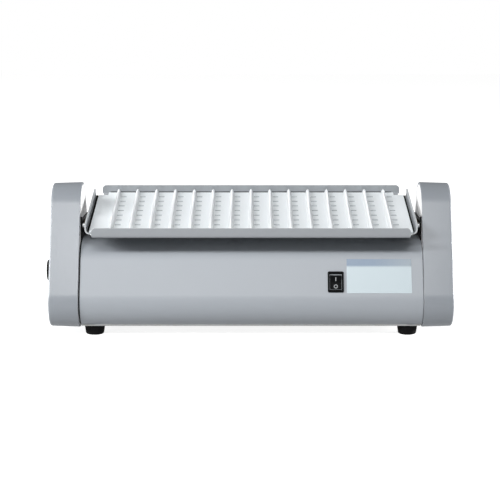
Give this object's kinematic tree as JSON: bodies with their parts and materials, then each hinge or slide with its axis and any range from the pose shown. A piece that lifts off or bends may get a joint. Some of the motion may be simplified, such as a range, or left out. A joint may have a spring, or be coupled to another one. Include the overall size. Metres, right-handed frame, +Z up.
{
  "type": "test tube rocker",
  "caption": "Test tube rocker: a lipped tray with a ridged tube mat rocks between two rounded triangular end caps on a grey housing with rubber feet.",
  "frame": {"origin": "on the floor that the feet stand on, under the middle of the whole outline; the housing's mid-plane is 3.2 mm towards +X of it, because the knob stands out of the left cap", "axes": "+X along the machine from the knob end to the power inlet end, -Y towards the side with the power switch, +Z up"},
  "size_m": [0.4166, 0.1401, 0.1502],
  "materials": {
    "housing_paint": "grey powder coat",
    "cap_moulding": "grey moulded ABS, satin",
    "cover_moulding": "light grey moulded ABS, satin",
    "tray_paint": "grey powder coat",
    "mat_moulding": "blue-white moulded polypropylene",
    "black_steel": "black coat",
    "zinc_steel": "zinc plate",
    "screw_steel": "zinc plate",
    "shaft_steel": "ground",
    "bronze": "sintered",
    "foot_rubber": "matt",
    "bracket_plastic": "black moulded nylon",
    "knob_plastic": "black moulded ABS",
    "switch_plastic": "black moulded nylon, semi gloss",
    "board_laminate": "green solder mask"
  },
  "bodies": {
    "chassis": {"base_plate": "zinc_steel", "body_shell": "housing_paint", "left_side_frame": "black_steel", "right_side_frame": "black_steel", "left_end_cap": "cap_moulding", "right_end_cap": "cap_moulding", "left_inner_cover": "cover_moulding", "right_inner_cover": "cover_moulding", "left_bush": "bronze", "right_bush": "bronze", "cap_screws": "screw_steel", "frame_screws": "screw_steel", "feet": "foot_rubber", "foot_screws": "screw_steel", "foot_nuts": "screw_steel", "gear_motor": "zinc_steel", "motor_screws": "screw_steel", "control_board": "board_laminate", "board_standoffs": "screw_steel", "board_parts": "bracket_plastic", "speed_pot": "bracket_plastic", "switch_body": "switch_plastic", "power_jack": "bracket_plastic", "jack_nut": "screw_steel"},
    "platform": {"tray": "tray_paint", "tray_screws": "screw_steel", "left_tray_bracket": "bracket_plastic", "right_tray_bracket": "bracket_plastic", "left_thrust_washer": "bracket_plastic", "right_thrust_washer": "bracket_plastic", "left_pivot_shaft": "shaft_steel", "right_pivot_shaft": "shaft_steel", "drive_arm": "zinc_steel"},
    "mat": {"tube_mat": "mat_moulding", "mat_ridges": "mat_moulding"},
    "crank": {"motor_shaft": "shaft_steel", "crank_disc": "zinc_steel", "crank_pin": "shaft_steel"},
    "knob": {"speed_knob": "knob_plastic", "pot_shaft": "shaft_steel"},
    "rocker": {"switch_rocker": "switch_plastic"}
  },
  "joints": [
    {"name": "platform_rock", "type": "hinge", "parent": "chassis", "child": "platform", "pos_m": [0.0032, 0, 0.1045], "axis": [-1, 0, 0], "range_deg": [0, 22]},
    {"name": "mat_lift", "type": "slide", "parent": "platform", "child": "mat", "axis": [0, -0.1908, 0.9816], "range_m": [0, 0.03]},
    {"name": "crank_spin", "type": "hinge", "parent": "chassis", "child": "crank", "pos_m": [-0.1768, 0, 0.0685], "axis": [-1, 0, 0], "range_deg": [0, 202]},
    {"name": "speed_knob_turn", "type": "hinge", "parent": "chassis", "child": "knob", "pos_m": [-0.2053, 0, 0.058], "axis": [-1, 0, 0], "range_deg": [0, 270]},
    {"name": "power_switch", "type": "hinge", "parent": "chassis", "child": "rocker", "pos_m": [0.0882, -0.05758, 0.05612], "axis": [-1, 0, 0], "range_deg": [0, 18]}
  ],
  "couplings": [
    {"joint": "crank_spin", "follows": "platform_rock", "ratio": 9.18}
  ]
}
